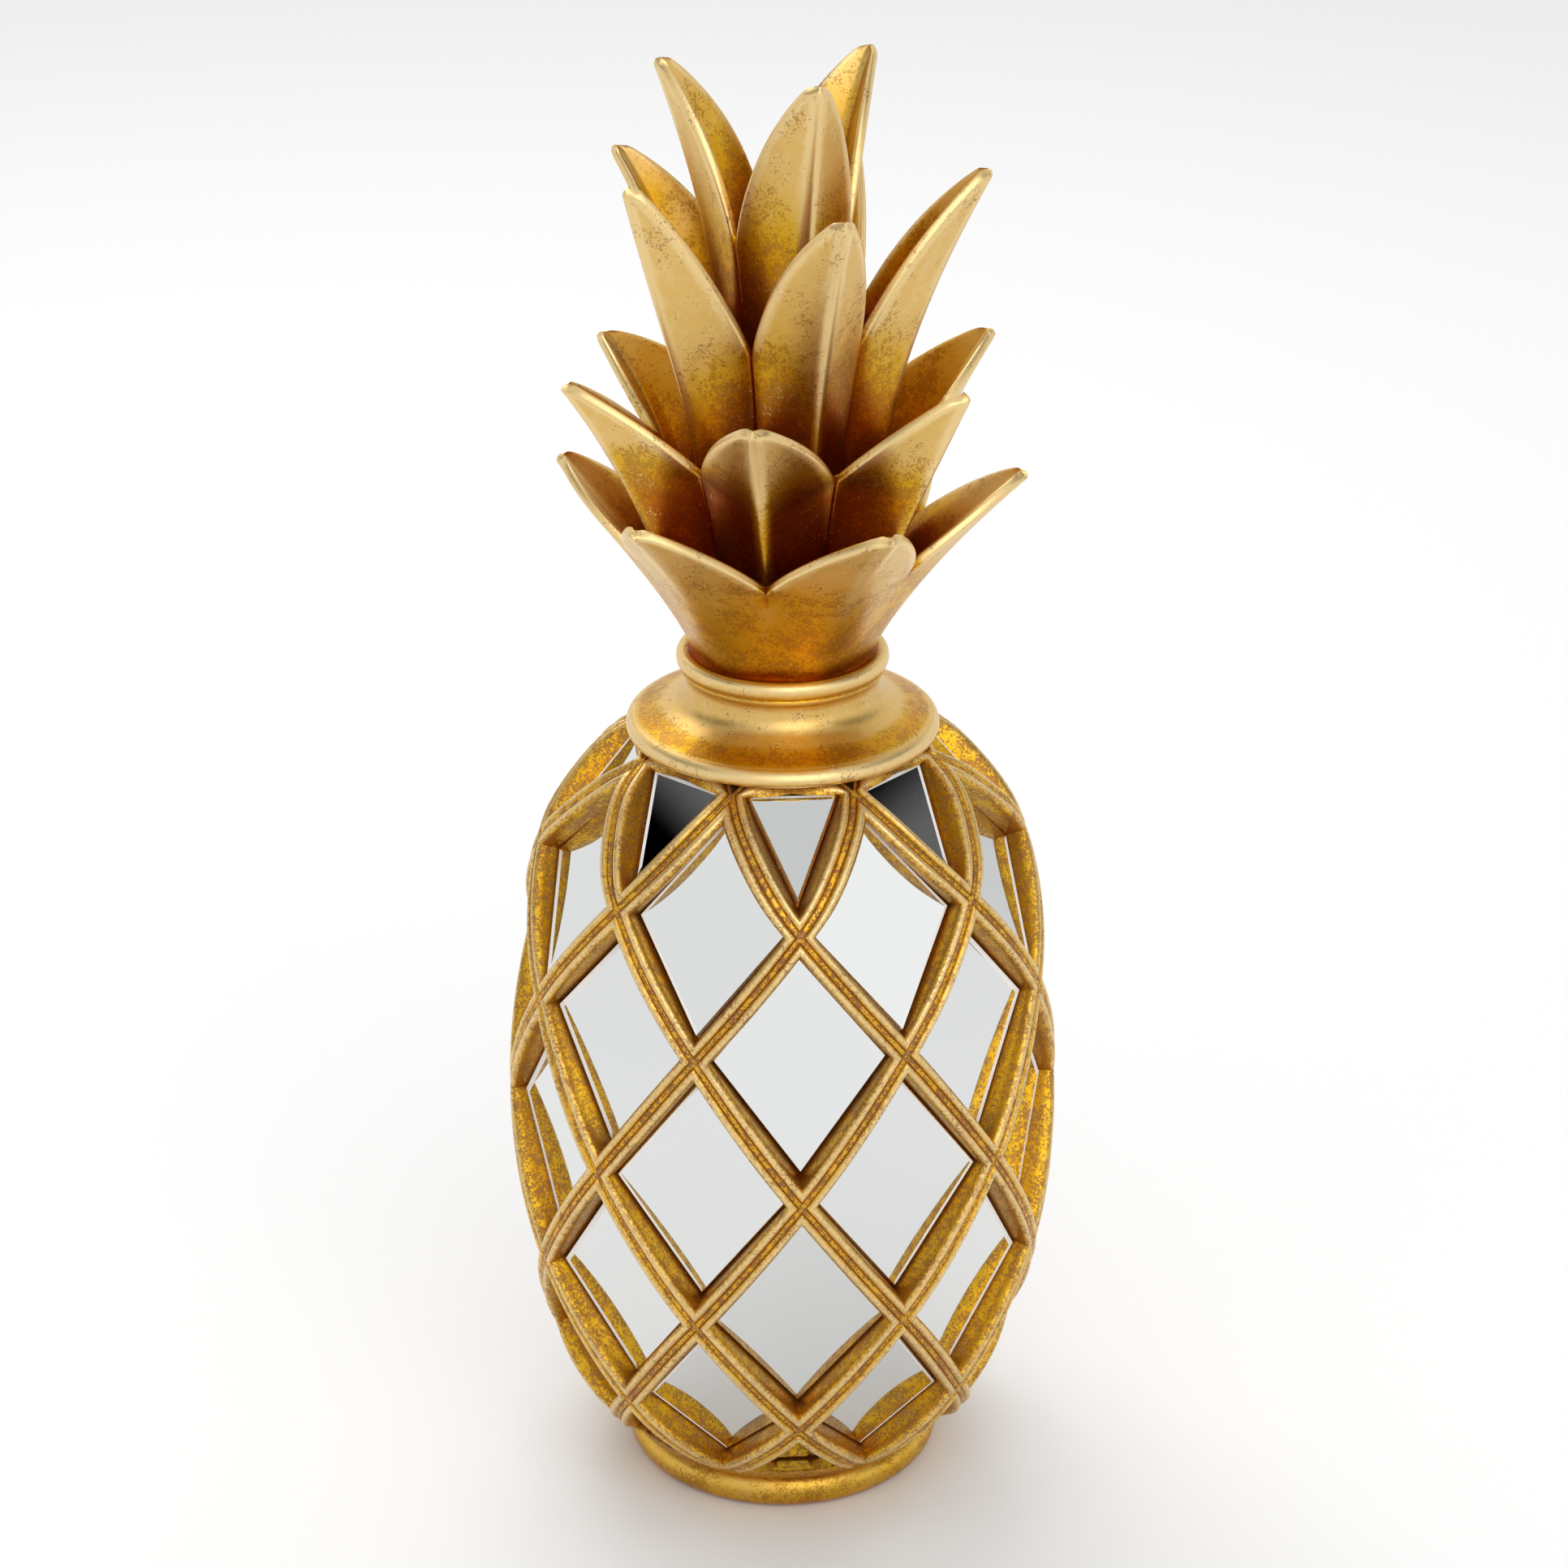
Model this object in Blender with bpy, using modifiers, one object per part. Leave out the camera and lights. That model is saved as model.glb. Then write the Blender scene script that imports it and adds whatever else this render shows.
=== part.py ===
"""Gilded pineapple ornament: a barrel body of crossing strands set with flat mirror tiles,
and a crown of four tiers of folded leaves on a turned collar.

Metres, +Z up. The origin is the centre of the foot's underside, and -Y is the front.
An azimuth is measured from the front towards +X.
"""

import math

import bmesh
import bpy
from mathutils import Matrix, Vector

# Lattice: strands wind both ways round the body and cross in rows, eight crossings to a row
COLUMNS = 8
HALF_STEP = math.pi / COLUMNS
CROSSING_HEIGHTS = (0.2520, 0.2190, 0.1790, 0.1333, 0.0872, 0.0455, 0.0170)
STRAND_HALF_WIDTH = 0.0039

# Body outline over the strands, as (radius, height) from the shoulder down to the foot
BODY_OUTLINE = (
    (0.0480, 0.2520),
    (0.0590, 0.2445),
    (0.0708, 0.2300),
    (0.0762, 0.2190),
    (0.0812, 0.2000),
    (0.0841, 0.1790),
    (0.0872, 0.1333),
    (0.0847, 0.0872),
    (0.0748, 0.0455),
    (0.0660, 0.0275),
    (0.0560, 0.0170),
)
BODY_TOP = 0.2538
BODY_TOP_RADIUS = 0.0450
BODY_SEGMENTS = 56
OUTLINE_STEPS = 2
GIRTH_STEPS = 8

# Mirror tiles: flat glass, silvered, lying in the recesses between the strands
TILE_THICKNESS = 0.0030
# How far each row's tiles lie under the crossings at their sides
TILE_DEPTHS = (0.0015, 0.0050, 0.0030, 0.0029, 0.0036, 0.0050, 0.0040)
TILE_GAP = 0.0004
SHOULDER_TILE_RISE = 0.0003
FOOT_TILE_RISE = 0.0010
RECESS_REACH = 0.0180
# The walls of a recess run in towards a point this many times as far back as the axis
FOCUS_REACH = 3.0

# Foot: a half-round ring under the body, flat below
FOOT_RING_RADIUS = 0.0449
FOOT_ROLL = 0.0061
FOOT_ARC_TOP = math.radians(70.0)
FOOT_ARC_STEPS = 8

# Collar outline, as (radius, height) from under the leaves down to the flange's underside
COLLAR_OUTLINE = (
    (0.0270, 0.2816),
    (0.0302, 0.2806),
    (0.0326, 0.2787),
    (0.0326, 0.2757),
    (0.0298, 0.2733),
    (0.0300, 0.2695),
    (0.0330, 0.2645),
    (0.0390, 0.2618),
    (0.0460, 0.2597),
    (0.0482, 0.2576),
    (0.0479, 0.2550),
    (0.0455, 0.2542),
)
COLLAR_SEGMENTS = 40

# Crown tiers from the bottom up. A point is (radius, height). The keel of a leaf runs from base to
# tip, drawn towards bend. Neighbours are joined up to the notch, which is at share along the keel,
# and the inside of the tier is filled up to floor along the keel. The edges above the notch swell
# with fullness, and lean out towards the tip. An odd leaf's tip is turned further round, and lies
# further out and higher, than its neighbours' tips.
TIERS = (
    {
        "leaves": 6,
        "azimuth": math.radians(20.0),
        "base": (0.0272, 0.2800),
        "bend": (0.0380, 0.3045),
        "tip": (0.0740, 0.3390),
        "notch": (0.0470, 0.3160),
        "share": 0.58,
        "lean": 0.55,
        "fullness": 0.86,
        "floor": 0.48,
        "odd_leaves": {0: (math.radians(2.0), -0.0010, 0.0), 4: (0.0, -0.0052, 0.0)},
    },
    {
        "leaves": 6,
        "azimuth": math.radians(-11.0),
        "base": (0.0365, 0.3040),
        "bend": (0.0485, 0.3425),
        "tip": (0.0700, 0.3725),
        "notch": (0.0400, 0.3470),
        "share": 0.50,
        "lean": 0.50,
        "fullness": 0.88,
        "floor": 0.42,
        "odd_leaves": {1: (0.0, -0.0025, 0.0015), 4: (math.radians(3.0), -0.0015, -0.0045)},
    },
    {
        "leaves": 5,
        "azimuth": math.radians(13.0),
        "base": (0.0300, 0.3340),
        "bend": (0.0325, 0.3760),
        "tip": (0.0615, 0.4300),
        "notch": (0.0285, 0.3820),
        "share": 0.47,
        "lean": 0.40,
        "fullness": 0.98,
        "floor": 0.42,
        "odd_leaves": {
            3: (math.radians(3.0), 0.0005, -0.0025),
            4: (math.radians(3.0), -0.0045, 0.0035),
        },
    },
    {
        "leaves": 3,
        "azimuth": math.radians(13.0),
        "base": (0.0180, 0.3690),
        "bend": (0.0210, 0.4150),
        "tip": (0.0385, 0.4605),
        "notch": (0.0205, 0.4120),
        "share": 0.42,
        "lean": 0.28,
        "fullness": 0.95,
        "floor": 0.36,
        "odd_leaves": {0: (0.0, -0.0015, 0.0020), 1: (0.0, 0.0015, -0.0010)},
    },
)
KEEL_THICKNESS = 0.0048
RIM_THICKNESS = 0.0028
KEEL_BAND = 0.0030
WING_BULGE = 0.0012
TIP_SIZE = 0.0054
EDGE_RISE = 0.62
STATIONS_BELOW_FLOOR = 3
STATIONS_ABOVE_NOTCH = 4
MERGE_DISTANCE = 0.00001

GILT = (0.68, 0.46, 0.17)
SILVER = (0.86, 0.87, 0.87)


def around(azimuth, radius, height):
    """The point at an azimuth, radius and height."""
    return Vector((radius * math.sin(azimuth), -radius * math.cos(azimuth), height))


def smooth_outline(points, steps):
    """A Catmull-Rom curve through (radius, height) points, with steps spans between neighbours."""
    points = [Vector(point) for point in points]
    padded = [points[0], *points, points[-1]]
    curve = []
    for i in range(1, len(padded) - 2):
        before, start, end, after = padded[i - 1 : i + 3]
        for j in range(steps):
            t = j / steps
            linear = (end - before) * t
            square = (2 * before - 5 * start + 4 * end - after) * t**2
            cube = (3 * start - before - 3 * end + after) * t**3
            curve.append(0.5 * (2 * start + linear + square + cube))
    curve.append(points[-1])
    return curve


def bend_through(start, bend, end, t):
    """A quadratic curve from start to end, drawn towards bend."""
    return Vector(start) * (1 - t) ** 2 + Vector(bend) * 2 * t * (1 - t) + Vector(end) * t**2


def girth(height):
    """The body's radius over the strands at a height."""
    curve = smooth_outline(BODY_OUTLINE, GIRTH_STEPS)
    for upper, lower in zip(curve, curve[1:]):
        if lower.y <= height <= upper.y:
            share = (upper.y - height) / (upper.y - lower.y)
            return upper.x + (lower.x - upper.x) * share
    return curve[-1].x


def crossing(row, azimuth):
    """The point over a crossing of two strands."""
    height = CROSSING_HEIGHTS[row]
    return around(azimuth, girth(height), height)


def new_collection(name):
    """A new collection in the scene."""
    collection = bpy.data.collections.new(name)
    bpy.context.scene.collection.children.link(collection)
    return collection


def new_material(name, colour, metallic, roughness):
    """A plain material."""
    material = bpy.data.materials.new(name)
    material.use_nodes = True
    shader = material.node_tree.nodes["Principled BSDF"]
    shader.inputs["Base Color"].default_value = (*colour, 1.0)
    shader.inputs["Metallic"].default_value = metallic
    shader.inputs["Roughness"].default_value = roughness
    return material


def new_object(name, mesh, collection):
    """A new object in a collection."""
    obj = bpy.data.objects.new(name, mesh)
    collection.objects.link(obj)
    return obj


def new_helper(name, mesh, collection):
    """A new object that only shapes another one."""
    obj = new_object(name, mesh, collection)
    obj.hide_render = True
    obj.display_type = "WIRE"
    return obj


def turned(name, outline, segments, collection):
    """A solid turned about Z from (radius, height) points that run from the top down."""
    outline = [(0.0, outline[0][1]), *outline, (0.0, outline[-1][1])]
    mesh = bpy.data.meshes.new(name)
    points = [(radius, 0.0, height) for radius, height in outline]
    mesh.from_pydata(points, [(i, i + 1) for i in range(len(points) - 1)], [])
    obj = new_object(name, mesh, collection)
    screw = obj.modifiers.new("turn", "SCREW")
    screw.steps = segments
    screw.render_steps = segments
    screw.use_merge_vertices = True
    screw.merge_threshold = 0.00005
    return obj


def loft(bm, rings):
    """Adds a closed solid through rings of points, each with the same number of points."""
    loops = [[bm.verts.new(point) for point in ring] for ring in rings]
    for lower, upper in zip(loops, loops[1:]):
        for i, vert in enumerate(lower):
            following = (i + 1) % len(lower)
            bm.faces.new((vert, lower[following], upper[following], upper[i]))
    bm.faces.new(reversed(loops[0]))
    bm.faces.new(loops[-1])


def finish_mesh(name, bm):
    """The finished mesh of a bmesh, in triangles that face outwards."""
    bmesh.ops.triangulate(bm, faces=bm.faces)
    bmesh.ops.recalc_face_normals(bm, faces=bm.faces)
    mesh = bpy.data.meshes.new(name)
    bm.to_mesh(mesh)
    bm.free()
    return mesh


class TileSeat:
    """The flat seat of a row's first tile: its plane and its outline between the strands."""

    def __init__(self, row):
        azimuth = HALF_STEP if row % 2 else 0.0
        first, last = row == 0, row == len(CROSSING_HEIGHTS) - 1
        left = crossing(row, azimuth - HALF_STEP)
        right = crossing(row, azimuth + HALF_STEP)
        middle = (left + right) / 2
        upper = middle if first else crossing(row - 1, azimuth)
        lower = middle if last else crossing(row + 1, azimuth)
        self.across = around(azimuth + math.pi / 2, 1.0, 0.0)
        self.slope = (upper - lower).normalized()
        self.normal = self.across.cross(self.slope).normalized()
        self.front = self.normal.dot(middle) - TILE_DEPTHS[row]
        # A side of the outline is set back for half a strand, and for none along the collar or foot
        if first:
            self.corners, self.rises = [left, lower, right], [None, None, SHOULDER_TILE_RISE]
        elif last:
            self.corners, self.rises = [left, right, upper], [FOOT_TILE_RISE, None, None]
        else:
            self.corners, self.rises = [left, lower, right, upper], [None] * 4
        centre = sum(self.corners, Vector()) / len(self.corners)
        self.focus = centre - self.normal * FOCUS_REACH * centre.xy.length / self.normal.xy.length

    def outline(self, level, clearance=0.0):
        """The outline at a level along the normal. Its walls run in towards the focus."""
        flat = []
        for corner in self.corners:
            ray = corner - self.focus
            point = self.focus + ray * (level - self.normal.dot(self.focus)) / self.normal.dot(ray)
            flat.append(Vector((self.across.dot(point), self.slope.dot(point))))
        sides = []
        for i, start in enumerate(flat):
            along = (flat[(i + 1) % len(flat)] - start).normalized()
            inward = Vector((-along.y, along.x))
            set_back = STRAND_HALF_WIDTH if self.rises[i] is None else -self.rises[i]
            sides.append((start + inward * (set_back + clearance), along))
        points = []
        for i, (start, along) in enumerate(sides):
            other_start, other_along = sides[i - 1]
            reach = (start - other_start).cross(along) / other_along.cross(along)
            where = other_start + other_along * reach
            points.append(self.across * where.x + self.slope * where.y + self.normal * level)
        return points


def tile_mesh(name, seat):
    """A flat glass tile, clear of the walls round it."""
    bm = bmesh.new()
    back = seat.outline(seat.front - TILE_THICKNESS, TILE_GAP)
    loft(bm, [back, [point + seat.normal * TILE_THICKNESS for point in back]])
    return finish_mesh(name, bm)


def add_recess(bm, seat, turn):
    """Adds the cutter of the recess that a tile lies in."""
    floor = seat.front - TILE_THICKNESS - TILE_GAP
    rings = [seat.outline(level) for level in (floor, seat.front + RECESS_REACH)]
    loft(bm, [[turn @ point for point in ring] for ring in rings])


def leaf_keel(tier, t):
    """The keel's point at t, and the direction into the leaf there, as (radius, height)."""
    base, bend, tip = (Vector(tier[key]) for key in ("base", "bend", "tip"))
    run = (bend - base) * (1 - t) + (tip - bend) * t
    return bend_through(base, bend, tip, t), Vector((-run.y, run.x)).normalized()


def leaf_edge(tier, t):
    """The right edge's point at t, and how far round from the keel it faces."""
    span = math.pi / tier["leaves"]
    share = tier["share"]
    radius, height = tier["notch"]
    keel, _ = leaf_keel(tier, t)
    parting, _ = leaf_keel(tier, share)
    if t <= share:
        return around(span, radius * keel.x / parting.x, keel.y + (height - parting.y) * t / share), span
    above = (t - share) / (1 - share)
    start = around(span, radius, height)
    tip = Vector(tier["tip"])
    end = Vector((TIP_SIZE / 2, TIP_SIZE / 4 - tip.x, tip.y))
    full = start.lerp(end, EDGE_RISE)
    full.x = start.x * tier["fullness"]
    full.y = start.y + (end.y - start.y) * tier["lean"]
    return bend_through(start, full, end, above), span * (1 - above)


def leaf_section(tier, t):
    """The outer and the inner points of a front leaf's section at t, from left to right."""
    keel, (inward, rise) = leaf_keel(tier, t)
    edge, facing = leaf_edge(tier, t)
    keel = around(0.0, *keel)
    into_keel = around(0.0, inward, rise)
    into_edge = around(facing, inward, rise)
    middle = (keel + edge) / 2 - into_keel * WING_BULGE * (1 - t)
    band = Vector((KEEL_BAND / 2 * (1 + t) / 2, 0.0, 0.0))
    valley = keel + into_keel * (KEEL_THICKNESS + (RIM_THICKNESS - KEEL_THICKNESS) * t)
    middle_inside = middle + (into_keel + into_edge) / 2 * (KEEL_THICKNESS + RIM_THICKNESS) / 2
    outer = [keel + band, middle, edge]
    inner = [middle_inside, edge + into_edge * RIM_THICKNESS]
    flip = Matrix.Diagonal((-1.0, 1.0, 1.0))
    outer = [flip @ point for point in reversed(outer)] + outer
    inner = [flip @ point for point in reversed(inner)] + [valley] + inner
    return outer, inner


def tier_mesh(name, tier):
    """A cup of folded leaves that part at the notches, filled up to its floor."""
    share, floor = tier["share"], tier["floor"]
    below = [floor * i / STATIONS_BELOW_FLOOR for i in range(STATIONS_BELOW_FLOOR)] + [floor]
    above = [share + (1 - share) * i / STATIONS_ABOVE_NOTCH for i in range(STATIONS_ABOVE_NOTCH + 1)]
    notch_station = len(below)
    floor_station = notch_station - 1
    bm = bmesh.new()
    base_ring, floor_ring = [], []
    for k in range(tier["leaves"]):
        further_round, further_out, higher = tier["odd_leaves"].get(k, (0.0, 0.0, 0.0))
        outer, inner = [], []
        for t in below + above:
            lift = max(0.0, (t - share) / (1 - share)) ** 2
            turn = Matrix.Rotation(2 * math.pi * k / tier["leaves"] + further_round * lift, 3, "Z")
            shift = around(0.0, further_out, higher) * lift
            for side, points in zip((outer, inner), leaf_section(tier, t)):
                side.append([bm.verts.new(turn @ (point + shift)) for point in points])
        base_ring += outer[0][:-1]
        floor_ring += inner[floor_station][:-1]
        for i in range(len(outer) - 1):
            strips = [(outer[i], outer[i + 1])]
            if i >= floor_station:
                strips.append((inner[i], inner[i + 1]))
            if i >= notch_station:
                for end in (0, -1):
                    rim = [(outer[j][end], inner[j][end]) for j in (i, i + 1)]
                    strips.append(rim)
            for lower, upper in strips:
                for j in range(len(lower) - 1):
                    bm.faces.new((lower[j], lower[j + 1], upper[j + 1], upper[j]))
        bm.faces.new(outer[-1] + inner[-1][::-1])
        unused = [vert for station in inner[:floor_station] for vert in station]
        bmesh.ops.delete(bm, geom=unused, context="VERTS")
    bm.faces.new(base_ring)
    bmesh.ops.poke(bm, faces=[bm.faces.new(floor_ring)])
    bmesh.ops.remove_doubles(bm, verts=bm.verts, dist=MERGE_DISTANCE)
    return finish_mesh(name, bm)


def body_outline():
    """The body's outline from its top down, with the foot's roll below."""
    foot = []
    for i in range(FOOT_ARC_STEPS + 1):
        angle = FOOT_ARC_TOP - (FOOT_ARC_TOP + math.pi / 2) * i / FOOT_ARC_STEPS
        radius = FOOT_RING_RADIUS + FOOT_ROLL * math.cos(angle)
        foot.append((radius, FOOT_ROLL + FOOT_ROLL * math.sin(angle)))
    return [(BODY_TOP_RADIUS, BODY_TOP), *smooth_outline(BODY_OUTLINE, OUTLINE_STEPS), *foot]


def make_body(parts, helpers, material):
    """The casting of crossing strands on its foot, with a recess for each tile."""
    body = turned("body", body_outline(), BODY_SEGMENTS, parts)
    body.data.materials.append(material)
    bm = bmesh.new()
    for row in range(len(CROSSING_HEIGHTS)):
        seat = TileSeat(row)
        for column in range(COLUMNS):
            add_recess(bm, seat, Matrix.Rotation(2 * HALF_STEP * column, 3, "Z"))
    recesses = new_helper("recesses", finish_mesh("recesses", bm), helpers)
    cut = body.modifiers.new("recesses", "BOOLEAN")
    cut.operation = "DIFFERENCE"
    cut.solver = "EXACT"
    cut.object = recesses


def make_tiles(parts, material):
    """Eight mirror tiles to a row, each in its recess."""
    for row in range(len(CROSSING_HEIGHTS)):
        mesh = tile_mesh(f"mirror_row{row + 1}", TileSeat(row))
        mesh.materials.append(material)
        for column in range(COLUMNS):
            tile = new_object(f"mirror_row{row + 1}_{column + 1}", mesh, parts)
            tile.rotation_euler.z = 2 * HALF_STEP * column


def make_crown(parts, helpers, material):
    """The casting of leaves and collar that sits on the body."""
    crown = turned("crown", COLLAR_OUTLINE, COLLAR_SEGMENTS, parts)
    crown.data.materials.append(material)
    for number, tier in enumerate(TIERS, 1):
        leaves = new_helper(f"tier_{number}", tier_mesh(f"tier_{number}", tier), helpers)
        leaves.rotation_euler.z = tier["azimuth"]
        join = crown.modifiers.new(f"tier {number}", "BOOLEAN")
        join.operation = "UNION"
        join.solver = "EXACT"
        join.object = leaves


def main():
    for obj in list(bpy.data.objects):
        bpy.data.objects.remove(obj, do_unlink=True)
    parts = new_collection("pineapple")
    helpers = new_collection("cutters")
    gilt = new_material("gilt", GILT, 1.0, 0.32)
    mirror = new_material("mirror", SILVER, 1.0, 0.04)
    make_body(parts, helpers, gilt)
    make_tiles(parts, mirror)
    make_crown(parts, helpers, gilt)


main()
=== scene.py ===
import math

import bmesh
import bpy
from mathutils import Matrix, Vector, noise


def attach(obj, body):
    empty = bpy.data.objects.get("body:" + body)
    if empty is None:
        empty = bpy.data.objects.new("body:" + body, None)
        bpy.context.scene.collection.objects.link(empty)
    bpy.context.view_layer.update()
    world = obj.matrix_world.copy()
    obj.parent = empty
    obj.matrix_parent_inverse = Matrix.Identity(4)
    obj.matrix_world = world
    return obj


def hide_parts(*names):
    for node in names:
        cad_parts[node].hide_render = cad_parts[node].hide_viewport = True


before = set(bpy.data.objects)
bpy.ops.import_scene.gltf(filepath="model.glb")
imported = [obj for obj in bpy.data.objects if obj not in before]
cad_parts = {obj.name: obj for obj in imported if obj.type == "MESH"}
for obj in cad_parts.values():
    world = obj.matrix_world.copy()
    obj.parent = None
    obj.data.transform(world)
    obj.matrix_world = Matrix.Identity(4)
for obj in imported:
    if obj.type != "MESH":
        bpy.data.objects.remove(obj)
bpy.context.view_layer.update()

MM = 0.001
FINISH = ("stain_and_shade", "ground", "rub_and_highlight")

# Lattice of strands, which cross in rows of eight. The heights above and below the rows are where they
# would cross next, hidden by the collar and the foot.
COLUMNS = 8
HALF_STEP = math.pi / COLUMNS
CROSSING_HEIGHTS = (0.2520, 0.2190, 0.1790, 0.1333, 0.0872, 0.0455, 0.0170)
HEIGHT_ABOVE_ROWS = 0.2610
HEIGHT_BELOW_ROWS = 0.0060
ROW_STEPS = 16
STRAND_HALF_WIDTH = 0.0039

# Heights where the lattice is cut off level, just under the collar and above the foot
SHOULDER_CUT = 0.2537
FOOT_CUT = 0.0180

# Outline of the body over the strands, as (radius, height), with what the collar and foot hide. It is
# widest at the girth.
BODY_OUTLINE = (
    (0.0330, 0.2610),
    (0.0480, 0.2520),
    (0.0590, 0.2445),
    (0.0708, 0.2300),
    (0.0762, 0.2190),
    (0.0812, 0.2000),
    (0.0841, 0.1790),
    (0.0872, 0.1333),
    (0.0847, 0.0872),
    (0.0748, 0.0455),
    (0.0660, 0.0275),
    (0.0560, 0.0170),
    (0.0455, 0.0060),
)
OUTLINE_STEPS = 8
GIRTH_HEIGHT = CROSSING_HEIGHTS[3]

# Section of a strand from its middle line to the wall of a recess: a flat band, an incised line, and
# the rounded ridge that frames a tile. A point is (distance, depth) in mm, and then how stained the
# gilding is there, darker with painted shade down the ridge's outer slope, how much of the ground
# shows, and how much it is rubbed, with a painted highlight along the ridge's crest.
STRAND_SECTION = (
    (0.00, 0.60, 0.40, 0.95, 0.0),
    (0.44, 0.58, 0.40, 0.95, 0.0),
    (0.68, 0.66, 0.58, 0.70, 0.0),
    (0.80, 0.96, 0.88, 0.00, 0.0),
    (0.90, 0.98, 0.88, 0.00, 0.0),
    (1.06, 0.74, 0.56, 0.15, 0.0),
    (1.34, 0.42, 0.28, 0.36, 0.1),
    (1.76, 0.15, 0.14, 0.28, 0.3),
    (2.26, 0.01, 0.08, 0.22, 0.5),
    (2.76, 0.14, 0.10, 0.28, 0.4),
    (3.16, 0.46, 0.20, 0.42, 0.1),
    (3.52, 0.96, 0.34, 0.60, 0.0),
    (3.80, 1.60, 0.46, 0.55, 0.0),
)
# A wall's points, as shares of the way down, each with how stained it is, darker with painted shade
# towards the tile, and how much of the ground shows in all of them
WALL_STEPS_AND_SHADE = ((0.30, 0.54), (0.65, 0.64), (0.88, 0.74), (1.0, 0.90))
WALL_GROUND = 0.45
# Steps along each side of a recess, the distance between the rings of its flat pattern, and how many
# radii in from a tile the walls round it point to
SIDE_STEPS = 18
PATTERN_STEP = 0.05
FOCUS_REACH = 3.0

# Mirror tiles: the gap behind them, and the bevel of their edges. The rim marked off round a tile's
# front is wider the further the tile lies to a side. On the outer sides of the tiles that lie further
# than SLANT_REACH to a side, and along the top of the first row, it is not silvered but painted pale
# like the ground glass edge: a painted reflection of that edge seen through the glass.
TILE_GAP = 0.0004
TILE_BEVEL = 0.0003
EDGE_REFLECTION_SLANT = 0.030
LEAST_EDGE_REFLECTION = 0.0007
SLANT_REACH = 0.015

# Foot: a rolled ring, joined to the body by a cove, as (radius, height) where the cove ends, and a plug
# that closes what is open between the cove and the lattice
FOOT_RING_RADIUS = 0.0449
FOOT_ROLL = 0.0061
ROLL_STEPS = 40
COVE_FOOT = (0.0478, 0.0112)
COVE_STEPS = 4
FOOT_PLUG = ((0.0538, 0.0182), (0.0545, 0.0176), (0.0525, 0.0140), (0.0478, 0.0112))

# Collar outline in mm, as (radius, height) from inside the leaves down to the flange's underside
COLLAR_OUTLINE = (
    (25.0, 281.4),
    (27.6, 280.6),
    (29.2, 280.9),
    (30.8, 281.2),
    (32.1, 280.3),
    (32.6, 278.7),
    (32.3, 277.0),
    (31.3, 275.9),
    (31.6, 275.2),
    (31.1, 274.2),
    (29.9, 272.9),
    (29.6, 270.6),
    (30.4, 267.4),
    (32.9, 264.6),
    (37.4, 262.6),
    (42.0, 261.1),
    (45.0, 260.0),
    (45.6, 259.7),
    (46.3, 259.5),
    (47.5, 258.5),
    (48.2, 257.0),
    (48.1, 255.4),
    (47.2, 254.5),
    (44.5, 254.2),
)

# Steps round every turned piece
TURNING_STEPS = 144

# Crown tiers from the bottom up. A point is (radius, height). The keel of a leaf runs from base to
# tip, drawn towards bend. Neighbours are joined up to the notch, which is at share along the keel,
# and the inside of the tier is filled up to floor along the keel. The edges above the notch swell
# with fullness, and lean out towards the tip. The crease along the keel comes in between the places in
# fold. A leaf is darker towards its base: the darkening fades out between the first two places given
# for it, from the depth that is its third number, and the first leaf, which faces the front, is
# darker still with a painted dark reflection. A seam of 1 is a full groove between joined
# leaves. An odd leaf's tip is turned further round, and lies further out and higher, than the others.
TIERS = (
    {
        "leaves": 6,
        "azimuth": math.radians(20.0),
        "base": (0.0272, 0.2800),
        "bend": (0.0380, 0.3045),
        "tip": (0.0740, 0.3390),
        "notch": (0.0470, 0.3160),
        "share": 0.58,
        "lean": 0.55,
        "fullness": 0.86,
        "fold": (0.34, 0.95),
        "floor": 0.48,
        "base_darkening": (0.25, 1.00, 0.52),
        "front_dark_reflection": 0.0,
        "seam": 0.0,
        "odd_leaves": {0: (math.radians(2.0), -0.0010, 0.0), 4: (0.0, -0.0052, 0.0)},
    },
    {
        "leaves": 6,
        "azimuth": math.radians(-11.0),
        "base": (0.0365, 0.3040),
        "bend": (0.0485, 0.3425),
        "tip": (0.0700, 0.3725),
        "notch": (0.0400, 0.3470),
        "share": 0.50,
        "lean": 0.50,
        "fullness": 0.88,
        "fold": (0.0, 0.10),
        "floor": 0.42,
        "base_darkening": (0.44, 0.82, 0.76),
        "front_dark_reflection": 0.14,
        "seam": 1.0,
        "odd_leaves": {1: (0.0, -0.0025, 0.0015), 4: (math.radians(3.0), -0.0015, -0.0045)},
    },
    {
        "leaves": 5,
        "azimuth": math.radians(13.0),
        "base": (0.0300, 0.3340),
        "bend": (0.0325, 0.3760),
        "tip": (0.0615, 0.4300),
        "notch": (0.0285, 0.3820),
        "share": 0.47,
        "lean": 0.40,
        "fullness": 0.98,
        "fold": (0.0, 0.10),
        "floor": 0.42,
        "base_darkening": (0.22, 0.68, 0.70),
        "front_dark_reflection": 0.18,
        "seam": 1.0,
        "odd_leaves": {
            3: (math.radians(3.0), 0.0005, -0.0025),
            4: (math.radians(3.0), -0.0045, 0.0035),
        },
    },
    {
        "leaves": 3,
        "azimuth": math.radians(13.0),
        "base": (0.0180, 0.3690),
        "bend": (0.0210, 0.4150),
        "tip": (0.0385, 0.4605),
        "notch": (0.0205, 0.4120),
        "share": 0.42,
        "lean": 0.28,
        "fullness": 0.95,
        "fold": (0.0, 0.10),
        "floor": 0.36,
        "base_darkening": (0.20, 0.80, 0.75),
        "front_dark_reflection": 0.05,
        "seam": 1.0,
        "odd_leaves": {0: (0.0, -0.0015, 0.0020), 1: (0.0, 0.0015, -0.0010)},
    },
)

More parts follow.
